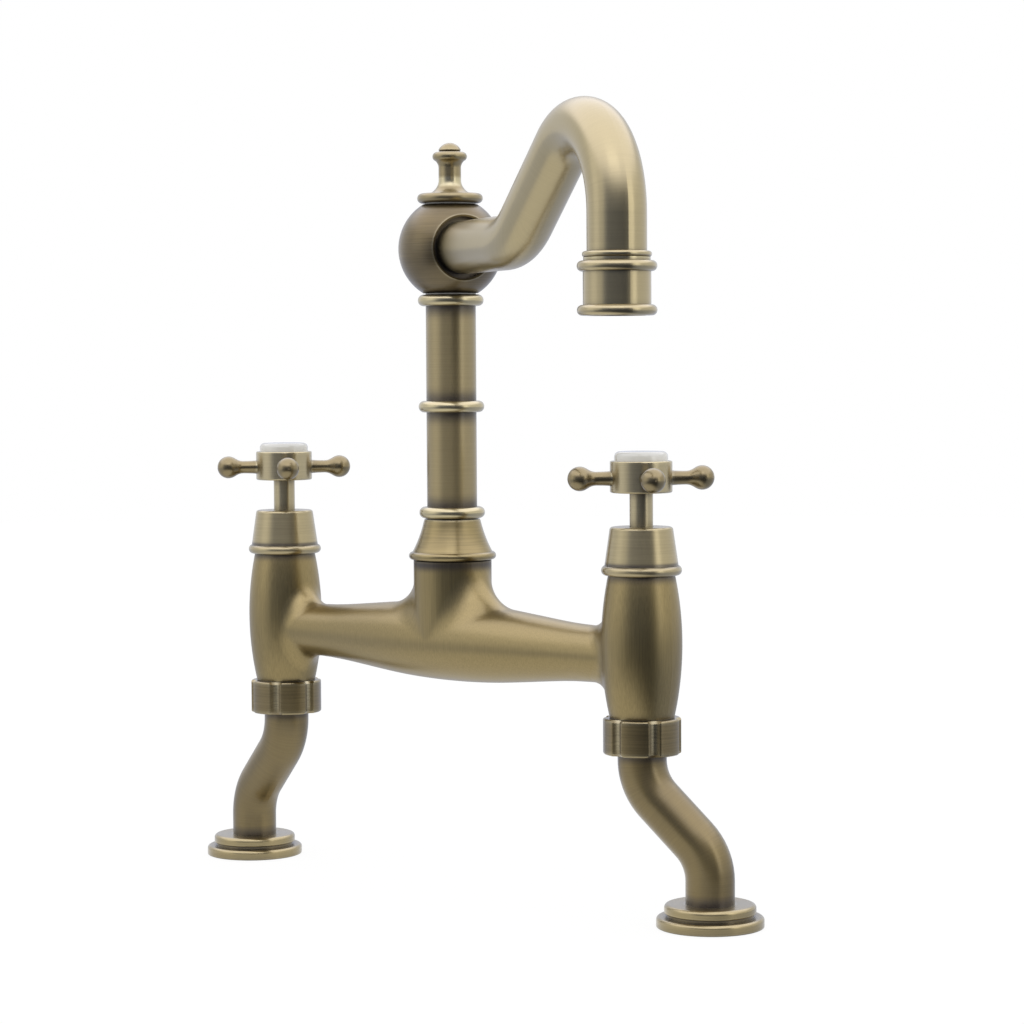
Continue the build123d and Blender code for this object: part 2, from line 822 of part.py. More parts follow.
def aerator_insert():
    """Moulded insert with a square grid that the water leaves through."""
    foot = outlet_foot + 0.4 + aerator_lip
    top = outlet_foot + aerator_depth - aerator_washer_height - screen_height
    outer_r = aerator_bore_r - fit_gap
    open_r = aerator_bore_r - 1.4
    insert = ring(outer_r, open_r, foot, top - foot)
    bars = int(open_r / grid_pitch)
    for index in range(-bars, bars + 1):
        place = index * grid_pitch
        length = 2 * sqrt((open_r + 0.3) ** 2 - place**2)
        bar = Box(grid_bar, length, 2.0, align=(Align.CENTER, Align.CENTER, Align.MIN))
        insert += Pos(place, 0, foot) * bar
        insert += Pos(0, place, foot) * Rot(0, 0, 90) * bar
    return insert


def aerator_screen():
    """Perforated disc on top of the insert."""
    foot = outlet_foot + aerator_depth - aerator_washer_height - screen_height
    screen = disc(aerator_bore_r - fit_gap, foot, screen_height)
    holes = [Pos(0, 0, foot) * Cylinder(0.8, 4)]
    for count, radius in ((6, 2.9), (12, 5.8)):
        for index in range(count):
            holes.append(Rot(0, 0, index * 360 / count) * Pos(radius, 0, foot) * Cylinder(0.8, 4))
    for hole in holes:
        screen -= hole
    return screen


# ---- Union nut and inlet leg ----


def lobes():
    """The union nut's outline: a circle with shallow flutes and softened corners."""
    shape = Circle(nut_r)
    for index in range(nut_flutes):
        flute = Pos(nut_r - flute_depth + flute_r, 0, 0) * Circle(flute_r)
        shape -= Rot(0, 0, index * 360 / nut_flutes) * flute
    return fillet(shape.vertices(), flute_corner)


def countersink(end, inward):
    """What opens a flute out at one end of the nut; inward is +1 at the foot and -1 at the top."""
    start, stop = end + inward * 2 * flute_bevel, end - inward * flute_bevel
    cone = turned((0, start), (flute_r - flute_bevel, start), (flute_r + 2 * flute_bevel, stop), (0, stop))
    return Pos(nut_r - flute_depth + flute_r, 0, 0) * cone


def union_nut():
    """Round nut with shallow flutes for the spanner, and a lip that lifts the leg's collar."""
    nut = turned(
        (leg_r + body_gap, nut_foot),
        (nut_r, nut_foot, nut_edge),
        (nut_r, nut_top, nut_edge),
        (spigot_r + fit_gap, nut_top),
        (spigot_r + fit_gap, nut_foot + nut_lip),
        (leg_r + body_gap, nut_foot + nut_lip),
    )
    nut &= Pos(0, 0, nut_foot) * extrude(lobes(), nut_height)
    ends = countersink(nut_foot, 1) + countersink(nut_top, -1)
    for index in range(nut_flutes):
        nut -= Rot(0, 0, index * 360 / nut_flutes) * ends
    return nut


def union_washer():
    """Fibre ring between the spigot and the leg's collar."""
    return ring(leg_collar_r, inlet_bore_r + 0.4, union_face, union_washer_height)


def leg_path():
    """The cranked centre line, from the union down to the top of the shank."""
    return FilletPolyline(
        (0, 0, union_face - running_gap),
        (0, 0, leg_upper_corner),
        (leg_crank, 0, leg_lower_corner),
        (leg_crank, 0, flange_height),
        radius=leg_bend_r,
    )


def leg_tail():
    """Threaded shank through the deck, with a plain groove above the inlet thread."""
    relief_foot = relief_top - shank_relief_height
    return turned(
        (0, flange_height),
        (leg_r, flange_height),
        (leg_r, flange_height - 0.5),
        (shank_r, flange_height - 1.0),
        (shank_r, relief_top),
        (shank_relief_r, relief_top),
        (shank_relief_r, relief_foot),
        (shank_r, relief_foot),
        (shank_r, shank_chamfer - shank_length),
        (shank_r - shank_chamfer, -shank_length),
        (0, -shank_length),
    )


def leg():
    """Cranked inlet leg, cranked along +X: collar, bent tube and threaded shank in one piece."""
    path = leg_path()
    collar_top_z = union_face - running_gap
    collar_foot_z = nut_foot + nut_lip + running_gap
    body = tube_along(path, leg_r) + disc(leg_collar_r, collar_foot_z, collar_top_z - collar_foot_z)
    body += Pos(leg_crank, 0, 0) * leg_tail()
    body -= tube_along(path, leg_bore_r)
    straight_bore = disc(leg_bore_r, -shank_length - 1, shank_length + flange_height + 2)
    return body - Pos(leg_crank, 0, 0) * straight_bore


def deck_flange():
    """Stepped round flange that hides the deck hole, screwed down the shank."""
    cove_top = flange_foot_height + flange_cove
    cut_r = flange_cap_r - flange_cove_depth
    bore = shank_r + fit_gap
    return turned(
        (bore, gasket_height),
        (gasket_r + 0.2, gasket_height),
        (gasket_r + 0.2, 0),
        (flange_foot_r, 0, 0.5),
        (flange_foot_r, flange_foot_height, 1.4),
        (cut_r, flange_foot_height),
        (cut_r, cove_top),
        (flange_cap_r, cove_top, 0.6),
        (flange_cap_r, flange_height, 1.6),
        (leg_r + fit_gap, flange_height),
        (leg_r + fit_gap, flange_height - 0.5 + fit_gap),
        (bore, flange_height - 1.0 + fit_gap),
    )


def flange_gasket():
    """Rubber ring let into the flange's underside, flush with it."""
    return ring(gasket_r, shank_r + fit_gap, 0, gasket_height)


def deck_washer():
    """Rubber washer under the deck."""
    return ring(washer_r, shank_r + fit_gap, -deck_thickness - deck_washer_height, deck_washer_height, 0.4)


def clamp_washer():
    """Metal washer under the rubber one."""
    foot = -deck_thickness - deck_washer_height - clamp_washer_height
    return ring(washer_r, shank_r + fit_gap, foot, clamp_washer_height, 0.2)


def backnut():
    """Hexagonal nut that clamps the flange and washers to the deck."""
    foot = -deck_thickness - deck_washer_height - clamp_washer_height - backnut_height
    corners_r = backnut_flats / 2 / cos(radians(30))
    hexagon = Pos(0, 0, foot) * extrude(RegularPolygon(corners_r, 6), backnut_height)
    bevel = (corners_r - backnut_flats / 2) * 0.9
    limit = turned(
        (0, foot),
        (corners_r - bevel, foot),
        (corners_r, foot + bevel * 0.6),
        (corners_r, foot + backnut_height - bevel * 0.6),
        (corners_r - bevel, foot + backnut_height),
        (0, foot + backnut_height),
    )
    return (hexagon & limit) - disc(shank_r + fit_gap, foot - 1, backnut_height + 2)


def build():
    """Makes every sub-part and writes it."""
    os.makedirs("parts", exist_ok=True)
    save("bridge_casting", bridge_casting())
    save("column_collar", column_collar())
    save("column_seal", column_seal())
    save("column_tube", column_tube())
    save("column_bead_lower", column_bead(lower_bead))
    save("column_bead_middle", column_bead(middle_bead))
    save("column_bead_upper", column_bead(upper_bead))
    save("swivel_core", swivel_core())
    save("core_o_ring_lower", core_o_ring(-core_ring_offset))
    save("core_o_ring_upper", core_o_ring(core_ring_offset))
    save("swivel_washer_lower", swivel_washer(column_head + running_gap))
    save("swivel_washer_upper", swivel_washer(finial_foot - running_gap - swivel_washer_height))
    save("finial", finial())
    save("spout_ball", spout_ball())
    save("spout_tube", spout_tube())
    save("outlet_collar", at_outlet(outlet_collar()))
    save("aerator_washer", at_outlet(aerator_washer()))
    save("aerator_housing", at_outlet(aerator_housing()))
    save("aerator_insert", at_outlet(aerator_insert()))
    save("aerator_screen", at_outlet(aerator_screen()))
    for side, x in sides.items():
        pillar_pieces = {
            "headwork_seal": headwork_seal(),
            "headwork_body": headwork_body(),
            "fixed_disc": fixed_disc(),
            "moving_disc": moving_disc(),
            "spindle": spindle(),
            "spindle_o_ring": spindle_o_ring(),
            "headwork_cover": headwork_cover(),
            "handle_hub": handle_hub(),
            "handle_arms": handle_arms(),
            "handle_screw": handle_screw(),
            "porcelain_index": porcelain_index(),
            "union_nut": Rot(0, 0, nut_turns[side]) * union_nut(),
            "union_washer": union_washer(),
            "leg": Rot(0, 0, leg_headings[side]) * leg(),
        }
        for name, piece in pillar_pieces.items():
            save(f"{name}_{side}", Pos(x, 0, 0) * piece)
        foot_pieces = {
            "deck_flange": deck_flange(),
            "flange_gasket": flange_gasket(),
            "deck_washer": deck_washer(),
            "clamp_washer": clamp_washer(),
            "backnut": backnut(),
        }
        foot = Pos(x, 0, 0) * Rot(0, 0, leg_headings[side]) * Pos(leg_crank, 0, 0)
        for name, piece in foot_pieces.items():
            save(f"{name}_{side}", foot * piece)


build()
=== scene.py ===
"""Looks of the bridge kitchen faucet: antique brass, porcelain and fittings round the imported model.

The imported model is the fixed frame, in metres, with the deck at z = 0 and the user on the -Y side.
"""

import math

import bpy
from mathutils import Matrix, Vector


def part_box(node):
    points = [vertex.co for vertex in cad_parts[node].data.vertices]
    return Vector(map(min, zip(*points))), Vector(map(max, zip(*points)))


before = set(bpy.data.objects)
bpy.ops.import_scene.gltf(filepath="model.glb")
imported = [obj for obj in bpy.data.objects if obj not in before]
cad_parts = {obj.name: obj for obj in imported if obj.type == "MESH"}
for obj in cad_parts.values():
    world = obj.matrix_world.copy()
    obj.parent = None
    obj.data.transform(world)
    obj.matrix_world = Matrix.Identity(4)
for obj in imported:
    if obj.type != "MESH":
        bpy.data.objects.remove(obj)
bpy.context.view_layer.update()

bl_info = {
    "name": "Bridge kitchen faucet",
    "version": (1, 0, 0),
    "blender": (4, 5, 0),
    "location": "View3D > Sidebar > Faucet",
    "description": "Finishes a bridge kitchen faucet in antique brass with porcelain indices",
    "category": "Object",
}

MM = 0.001
SIDES = ("left", "right")
MIX_A, MIX_B, MIX_RESULT = 6, 7, 2  # a Mix node's colour sockets


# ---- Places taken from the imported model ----


def middle(node):
    """Centre of a node's box."""
    low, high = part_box(node)
    return (low + high) / 2


def upright_axis(node):
    """Where the upright axis of a round node meets the deck plane."""
    centre = middle(node)
    return Vector((centre.x, centre.y, 0))


def foot_of(node):
    """Lowest height of a node."""
    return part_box(node)[0].z


def top_of(node):
    """Greatest height of a node."""
    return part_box(node)[1].z


# ---- Colour, node and material helpers ----


def linear(hex_colour):
    """An sRGB hex colour as linear red, green, blue and alpha."""
    channels = [int(hex_colour[i : i + 2], 16) / 255 for i in (1, 3, 5)]
    return (*[c / 12.92 if c <= 0.04045 else ((c + 0.055) / 1.055) ** 2.4 for c in channels], 1.0)


def add_node(tree, kind, sockets=None, **settings):
    """Adds a node, sets it up, and gives its sockets values, or links from nodes or their sockets."""
    new = tree.nodes.new(kind)
    for key, value in settings.items():
        setattr(new, key, value)
    for key, value in (sockets or {}).items():
        if isinstance(value, bpy.types.Node):
            value = value.outputs[0]
        if isinstance(value, bpy.types.NodeSocket):
            tree.links.new(value, new.inputs[key])
        else:
            new.inputs[key].default_value = value
    return new


def new_material(name, **constants):
    """A material with a Principled shader on its output and constants on the shader's sockets."""
    material = bpy.data.materials.new(name)
    material.use_nodes = True
    tree = material.node_tree
    tree.nodes.clear()
    shader = add_node(tree, "ShaderNodeBsdfPrincipled")
    for socket, value in constants.items():
        shader.inputs[socket.replace("_", " ")].default_value = value
    add_node(tree, "ShaderNodeOutputMaterial", {"Surface": shader.outputs[0]})
    return material, tree, shader


def cover_with(material, *nodes):
    """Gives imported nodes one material."""
    for name in nodes:
        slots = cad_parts[name].data.materials
        slots.clear()
        slots.append(material)


# ---- Colours and light that a user may change ----


def colour_property(name, description, hex_colour):
    """A colour in the sidebar, with its default as sRGB hex."""
    return bpy.props.FloatVectorProperty(
        name=name, description=description, subtype="COLOR", size=4, min=0, max=1,
        default=linear(hex_colour),
    )


class FaucetFinish(bpy.types.PropertyGroup):
    """Colours of the finishes."""

    burnished: colour_property("Burnished brass", "Where the wheel cut through the patina", "#cfc39b")
    satin: colour_property("Satin brass", "The brushed field of most pieces", "#93835a")
    relieved: colour_property("Relieved brass", "The field where more patina was taken off", "#b8ab87")
    patina: colour_property("Patina", "Darkened brass left in corners and recesses", "#4e4842")
    raw_brass: colour_property("Raw brass", "Machined fittings out of sight", "#c9a45c")
    glaze: colour_property("Porcelain glaze", "The plain index discs", "#eceae3")
    rubber: colour_property("Rubber", "Washers, seals and gaskets", "#222221")
    fibre: colour_property("Fibre", "Union washers", "#7a3b2c")
    steel: colour_property("Stainless steel", "Screws, clamp washers and the screen", "#a9a8a5")
    plastic: colour_property("Moulded plastic", "The aerator's insert", "#b9b8b2")
    ceramic: colour_property("Valve ceramic", "The valves' lapped discs", "#e6e3da")


class FaucetStudio(bpy.types.PropertyGroup):
    """The studio's light."""

    key_watts: bpy.props.FloatProperty(
        name="Key light", description="Power of the large soft light on the left", unit="POWER",
        min=0, default=0.4,
    )
    fill_watts: bpy.props.FloatProperty(
        name="Fill light", description="Power of the soft light on the right", unit="POWER",
        min=0, default=0.6,
    )
    top_watts: bpy.props.FloatProperty(
        name="Top light", description="Power of the soft light above the camera", unit="POWER",
        min=0, default=0.5,
    )
    surround: bpy.props.FloatProperty(
        name="Surround", description="Level of the white surround on matt surfaces", min=0,
        default=0.75,
    )


# ---- Hairlines ----

# Real abrasive lines are about 0.05 mm wide. They are drawn about 0.4 mm wide, so that they show.
HAIR = 1 / (0.42 * MM)  # how often the noise changes across the hairlines
HAIR_RUN = 1 / (28 * MM)  # how often a hairline changes along its length
RADIUS_SHARE = 0.61  # the radius's part in a turned profile's length


def round_hairlines(tree, place, upright):
    """Hairlines round an upright axis, or along it: the noise's coordinates, and the way round."""
    flat = add_node(tree, "ShaderNodeVectorMath", {0: place, 1: (1, 1, 0)}, operation="MULTIPLY")
    around = add_node(
        tree, "ShaderNodeVectorMath", {0: (0, 0, 1), 1: flat}, operation="CROSS_PRODUCT"
    )
    if upright:
        across = add_node(
            tree, "ShaderNodeVectorMath", {0: place, 1: (HAIR, HAIR, HAIR_RUN)}, operation="MULTIPLY"
        )
        return across, around
    radius = add_node(tree, "ShaderNodeVectorMath", {0: flat}, operation="LENGTH").outputs["Value"]
    height = add_node(tree, "ShaderNodeSeparateXYZ", {0: place}).outputs["Z"]
    # A mix of height and radius changes across walls and across flat tops alike.
    profile = add_node(
        tree, "ShaderNodeMath", {0: radius, 1: RADIUS_SHARE, 2: height}, operation="MULTIPLY_ADD"
    )
    return spread_lines(tree, flat, profile), around


def spread_lines(tree, place, across):
    """The noise's coordinates for hairlines that one length counts across."""
    slow = add_node(
        tree, "ShaderNodeVectorMath", {0: place, 1: (HAIR_RUN, HAIR_RUN, HAIR_RUN)},
        operation="MULTIPLY",
    )
    fast = add_node(tree, "ShaderNodeMath", {0: across, 1: HAIR}, operation="MULTIPLY")
    lift = add_node(tree, "ShaderNodeCombineXYZ", {2: fast})
    return add_node(tree, "ShaderNodeVectorMath", {0: slow, 1: lift}, operation="ADD")


def in_plane(ahead, point):
    """A point of the upright plane through the heading, from (distance along it, height)."""
    return ahead * point.x + Vector((0, 0, point.y))


def tube_length(tree, place, heading, corners, radii):
    """Length along a bent tube's centre line, and the way that it runs.

    The tube lies in the upright plane through the heading. Its corners are (distance along the
    heading, height), and a radius rounds each inner one. Every straight run and every bend adds its
    own length, from nothing for what comes before it to all of it for what comes after it.
    """
    ahead = Vector((math.cos(heading), math.sin(heading), 0))
    corners = [Vector(corner) for corner in corners]
    length = 0.0
    run_start = corners[0]
    way = (corners[1] - corners[0]).normalized()
    slope = math.atan2(way.y, way.x)
    for index, corner in enumerate(corners[1:]):
        bent = index < len(radii)
        next_way = (corners[index + 2] - corner).normalized() if bent else way
        turn = math.atan2(way.x * next_way.y - way.y * next_way.x, way.dot(next_way))
        cut = radii[index] * math.tan(abs(turn) / 2) if bent else 0.0
        run = (corner - run_start).length - cut
        along = in_plane(ahead, way)
        reach = add_node(tree, "ShaderNodeVectorMath", {0: place, 1: along}, operation="DOT_PRODUCT")
        begin = along.dot(in_plane(ahead, run_start))
        held = add_node(
            tree, "ShaderNodeMapRange",
            {
                "Value": reach.outputs["Value"], "From Min": begin, "From Max": begin + run,
                "To Min": 0.0, "To Max": run,
            },
        )
        length = add_node(tree, "ShaderNodeMath", {0: length, 1: held}, operation="ADD")
        if not bent:
            break
        side = math.copysign(1.0, turn)
        inward = Vector((-way.y, way.x)) * side
        centre = in_plane(ahead, corner - way * cut + inward * radii[index])
        arm = add_node(tree, "ShaderNodeVectorMath", {0: place, 1: centre}, operation="SUBTRACT")
        onward = add_node(tree, "ShaderNodeVectorMath", {0: arm, 1: along}, operation="DOT_PRODUCT")
        outward = add_node(
            tree, "ShaderNodeVectorMath", {0: arm, 1: -in_plane(ahead, inward)},
            operation="DOT_PRODUCT",
        )
        angle = add_node(
            tree, "ShaderNodeMath", {0: onward.outputs["Value"], 1: outward.outputs["Value"]},
            operation="ARCTAN2",
        )
        swept = add_node(
            tree, "ShaderNodeMapRange",
            {"Value": angle, "From Min": 0.0, "From Max": abs(turn), "To Min": 0.0, "To Max": abs(turn)},
        )
        length = add_node(
            tree, "ShaderNodeMath", {0: swept, 1: radii[index], 2: length}, operation="MULTIPLY_ADD"
        )
        slope = add_node(tree, "ShaderNodeMath", {0: swept, 1: side, 2: slope}, operation="MULTIPLY_ADD")
        run_start = corner + next_way * cut
        way = next_way
    level = add_node(tree, "ShaderNodeMath", {0: slope}, operation="COSINE")
    rise = add_node(tree, "ShaderNodeMath", {0: slope}, operation="SINE")
    flat = add_node(tree, "ShaderNodeVectorMath", {0: ahead, 3: level}, operation="SCALE")
    lift = add_node(tree, "ShaderNodeCombineXYZ", {2: rise})
    lengthwise = add_node(tree, "ShaderNodeVectorMath", {0: flat, 1: lift}, operation="ADD")
    return length, lengthwise


def thread_ridges(tree, where, axis, pitch, top):
    """Ridges of a right-hand thread round an upright axis, below its top: 0 in the root, 1 on the crest."""
    place = add_node(tree, "ShaderNodeMapping", {"Vector": where, "Location": -axis})
    parts = add_node(tree, "ShaderNodeSeparateXYZ", {0: place}).outputs
    angle = add_node(tree, "ShaderNodeMath", {0: parts["Y"], 1: parts["X"]}, operation="ARCTAN2")
    turn = add_node(tree, "ShaderNodeMath", {0: angle, 1: -1 / math.tau}, operation="MULTIPLY")
    climb = add_node(
        tree, "ShaderNodeMath", {0: parts["Z"], 1: 1 / pitch, 2: turn}, operation="MULTIPLY_ADD"
    )
    half_turn = 0.5
    ridge = add_node(tree, "ShaderNodeMath", {0: climb, 1: half_turn}, operation="PINGPONG")
    # The thread runs out over its last two turns.
    cut = add_node(
        tree, "ShaderNodeMapRange",
        {
            "Value": parts["Z"], "From Min": top - 2 * pitch, "From Max": top,
            "To Min": 1 / half_turn, "To Max": 0.0,
        },
    )
    return add_node(tree, "ShaderNodeMath", {0: ridge, 1: cut}, operation="MULTIPLY")


# ---- Antique brass ----

RAY_SAMPLES = 6
SHELTER_REACH = 5 * MM  # how near another surface has to be for a corner to keep its patina
SHELTERED = (0.25, 0.85)  # how open a fully dark corner is, and a place out of reach of any corner
EDGED = (0.35, 0.90)  # how open the metal's inside is behind a fully worn edge, and behind a flat
BLOTCH = 1 / (22 * MM)  # how often the patina's blotches change
BLOTCH_SPAN = (0.35, 0.65)  # the noise's range that the blotches use
PALE_BLOTCH = 0.75  # the patina's share in a pale blotch
NOISE_SPAN = (0.3, 0.7)  # where nearly all of a fine noise's values lie
LACQUER_ROUGHNESS = 0.22
# What patina, wear and hairlines add to the roughness.
PATINA_ROUGHER, WORN_SMOOTHER, HAIR_ROUGHER = 0.10, -0.08, 0.05


def near_levels(tree, level_now, bands):
    """How near a length or height is to any of several levels, from bands of (level, reach)."""
    nearest = None
    for level, reach in bands:
        off = add_node(tree, "ShaderNodeMath", {0: level_now, 1: level}, operation="SUBTRACT")
        gap = add_node(tree, "ShaderNodeMath", {0: off}, operation="ABSOLUTE")
        band = add_node(
            tree, "ShaderNodeMapRange",
            {"Value": gap, "From Min": 0.0, "From Max": reach, "To Min": 1.0, "To Max": 0.0},
            interpolation_type="SMOOTHSTEP",
        )
        if nearest is not None:
            band = add_node(tree, "ShaderNodeMath", {0: nearest, 1: band}, operation="MAXIMUM")
        nearest = band
    return nearest


def dark_places(tree, place, level_now, bands, tarnish):
    """Where the bath's patina is left, from 0 to 1: tarnish out in the open, more in corners and bands."""
    shelter = add_node(
        tree, "ShaderNodeAmbientOcclusion", {"Distance": SHELTER_REACH}, samples=RAY_SAMPLES
    )
    recess = add_node(
        tree, "ShaderNodeMapRange",
        {
            "Value": shelter.outputs["AO"], "From Min": SHELTERED[0], "From Max": SHELTERED[1],
            "To Min": 1.0, "To Max": tarnish,
        },
    )
    if bands:
        band = near_levels(tree, level_now, bands)
        recess = add_node(tree, "ShaderNodeMath", {0: recess, 1: band}, operation="MAXIMUM")
    mottle = add_node(
        tree, "ShaderNodeTexNoise",
        {"Vector": place, "Scale": BLOTCH, "Detail": 3.0, "Roughness": 0.55},
    )
    blotch = add_node(
        tree, "ShaderNodeMapRange",
        {
            "Value": mottle, "From Min": BLOTCH_SPAN[0], "From Max": BLOTCH_SPAN[1],
            "To Min": PALE_BLOTCH, "To Max": 1.0,
        },
    )
    return add_node(
        tree, "ShaderNodeMath", {0: recess, 1: blotch}, operation="MULTIPLY", use_clamp=True
    )


def worn_places(tree, wear_mm, polish):
    """Where the wheel wore the metal bright, from 0 to 1: polish on flats, more towards edges."""
    edge = add_node(
        tree, "ShaderNodeAmbientOcclusion", {"Distance": wear_mm * MM}, samples=RAY_SAMPLES,
        inside=True, only_local=True,
    )
    return add_node(
        tree, "ShaderNodeMapRange",
        {
            "Value": edge.outputs["AO"], "From Min": EDGED[0], "From Max": EDGED[1],
            "To Min": 1.0, "To Max": polish,
        },
    )


def antique_brass(
    name, centre=Vector(), grain="round", tube=None, bands=(), relief=0.0, polish=0.0,
    wear_mm=1.4, tarnish=0.0, rough=0.30, stretch=0.6, streaks=0.10, lacquer=0.6, thread=None,
):
    """Brass darkened in a bath, brushed, relieved on a wheel, and lacquered.

    The field has hairlines, and reflects further across them than along them. Edges and beads,
    which the wheel reaches, are paler and smoother, and the bath's grey-brown stays in corners and
    beside shoulders. The lacquer gives a thin neutral sheen.

    The grain is round, upright or tube, and runs round the upright axis through centre, along it, or
    round the tube, which is (heading, corners, radii). A relief of 0 leaves the field satin and
    slightly olive, 1 gives it the relieved colour, and less than 0 makes it darker than satin. Polish
    and tarnish are how worn and how dark the open field is. Bands are (height or length, reach) of
    dark shoulders. A thread is (axis, pitch, top, depth).
    """
    finish = bpy.context.scene.faucet_finish
    field = [s + (r - s) * relief for s, r in zip(finish.satin, finish.relieved)]
    material, tree, shader = new_material(
        name, Metallic=1.0, Anisotropic=stretch, Anisotropic_Rotation=0.25 if grain == "round" else 0.0,
        Coat_Weight=lacquer, Coat_Roughness=LACQUER_ROUGHNESS,
    )
    where = add_node(tree, "ShaderNodeTexCoord").outputs["Object"]
    place = add_node(tree, "ShaderNodeMapping", {"Vector": where, "Location": -centre})
    level_now = add_node(tree, "ShaderNodeSeparateXYZ", {0: place}).outputs["Z"]
    if grain == "tube":
        level_now, way = tube_length(tree, place, *tube)
        lines = spread_lines(tree, place, level_now)
    else:
        lines, way = round_hairlines(tree, place, grain == "upright")
    hair = add_node(
        tree, "ShaderNodeTexNoise", {"Vector": lines, "Scale": 1.0, "Detail": 2.0, "Roughness": 0.65}
    )
    dark = dark_places(tree, place, level_now, bands, tarnish)
    worn = worn_places(tree, wear_mm, polish)
    brushed = add_node(
        tree, "ShaderNodeMix",
        {0: worn, MIX_A: field, MIX_B: finish.burnished[:]}, data_type="RGBA",
    )
    aged = add_node(
        tree, "ShaderNodeMix",
        {0: dark, MIX_A: brushed.outputs[MIX_RESULT], MIX_B: finish.patina[:]}, data_type="RGBA",
    )
    streak = add_node(
        tree, "ShaderNodeMapRange",
        {
            "Value": hair, "From Min": NOISE_SPAN[0], "From Max": NOISE_SPAN[1],
            "To Min": 1 - streaks, "To Max": 1 + streaks * 0.7,
        },
    )
    colour = add_node(
        tree, "ShaderNodeVectorMath", {0: aged.outputs[MIX_RESULT], 1: streak}, operation="MULTIPLY"
    )
    roughness = rough
    for share, change in ((dark, PATINA_ROUGHER), (worn, WORN_SMOOTHER), (hair, HAIR_ROUGHER)):
        roughness = add_node(
            tree, "ShaderNodeMath", {0: share, 1: change, 2: roughness}, operation="MULTIPLY_ADD"
        )
    bump = add_node(
        tree, "ShaderNodeBump", {"Strength": 0.2, "Distance": 0.02 * MM, "Height": hair}
    )
    if thread:
        axis, pitch, top, depth = thread
        ridges = thread_ridges(tree, where, axis, pitch, top)
        bump = add_node(
            tree, "ShaderNodeBump",
            {"Strength": 1.0, "Distance": depth, "Height": ridges, "Normal": bump},
        )
    sweep = add_node(
        tree, "ShaderNodeVectorTransform", {0: way}, vector_type="VECTOR", convert_from="OBJECT",
        convert_to="WORLD",
    )
    tree.links.new(colour.outputs[0], shader.inputs["Base Color"])
    tree.links.new(roughness.outputs[0], shader.inputs["Roughness"])
    tree.links.new(bump.outputs[0], shader.inputs["Normal"])
    tree.links.new(sweep.outputs[0], shader.inputs["Tangent"])
    return material


# ---- The other materials ----


def plain_finish(name, colour, speck_mm, variation, rough, bump_mm=0.0, **constants):
    """A material whose colour and roughness vary a little with a noise of the speck's size."""
    material, tree, shader = new_material(name, **constants)
    place = add_node(tree, "ShaderNodeTexCoord").outputs["Object"]
    speck = add_node(
        tree, "ShaderNodeTexNoise", {"Vector": place, "Scale": 1 / (speck_mm * MM), "Detail": 3.0}
    )
    shade = add_node(
        tree, "ShaderNodeMapRange",
        {
            "Value": speck, "From Min": NOISE_SPAN[0], "From Max": NOISE_SPAN[1],
            "To Min": 1 - variation, "To Max": 1 + variation,
        },
    )
    tint = add_node(tree, "ShaderNodeVectorMath", {0: colour[:3], 1: shade}, operation="MULTIPLY")
    roughness = add_node(tree, "ShaderNodeMath", {0: speck, 1: 0.12, 2: rough}, operation="MULTIPLY_ADD")
    tree.links.new(tint.outputs[0], shader.inputs["Base Color"])
    tree.links.new(roughness.outputs[0], shader.inputs["Roughness"])
    if bump_mm:
        bump = add_node(
            tree, "ShaderNodeBump", {"Strength": 0.5, "Distance": bump_mm * MM, "Height": speck}
        )
        tree.links.new(bump.outputs[0], shader.inputs["Normal"])
    return material


# ---- One operator for each piece or group of like pieces ----


class FAUCET_OT_casting(bpy.types.Operator):
    """Finishes the bridge casting"""

    bl_idname = "faucet.casting"
    bl_label = "Bridge casting"

    def execute(self, context):
        bands = [(foot_of("headwork_cover_left"), 4 * MM), (foot_of("column_collar"), 3 * MM)]
        casting = antique_brass(
            "antique_brass_casting", grain="upright", bands=bands, relief=-0.05,
            rough=0.34, stretch=0.2, streaks=0.13, lacquer=0.35,
        )
        cover_with(casting, "bridge_casting")
        return {"FINISHED"}


class FAUCET_OT_column(bpy.types.Operator):
    """Finishes the column, its beads and collar, and the finial"""

    bl_idname = "faucet.column"
    bl_label = "Column and finial"

    def execute(self, context):
        beads = ("column_bead_lower", "column_bead_middle", "column_bead_upper")
        bands = [(level(bead), 7 * MM) for bead in beads for level in (foot_of, top_of)]
        tube = antique_brass(
            "antique_brass_column", bands=bands, relief=0.2, rough=0.41, stretch=0.75, streaks=0.06
        )
        bead = antique_brass("antique_brass_bead", relief=0.6, polish=0.4, rough=0.29, stretch=0.2)
        collar = antique_brass("antique_brass_collar", relief=-0.3, polish=0.1, streaks=0.18)
        finial = antique_brass(
            "antique_brass_finial", relief=0.1, polish=0.05, tarnish=0.15, rough=0.33, stretch=0.3
        )
        cover_with(tube, "column_tube")
        cover_with(bead, *beads)
        cover_with(collar, "column_collar")
        cover_with(finial, "finial")
        return {"FINISHED"}


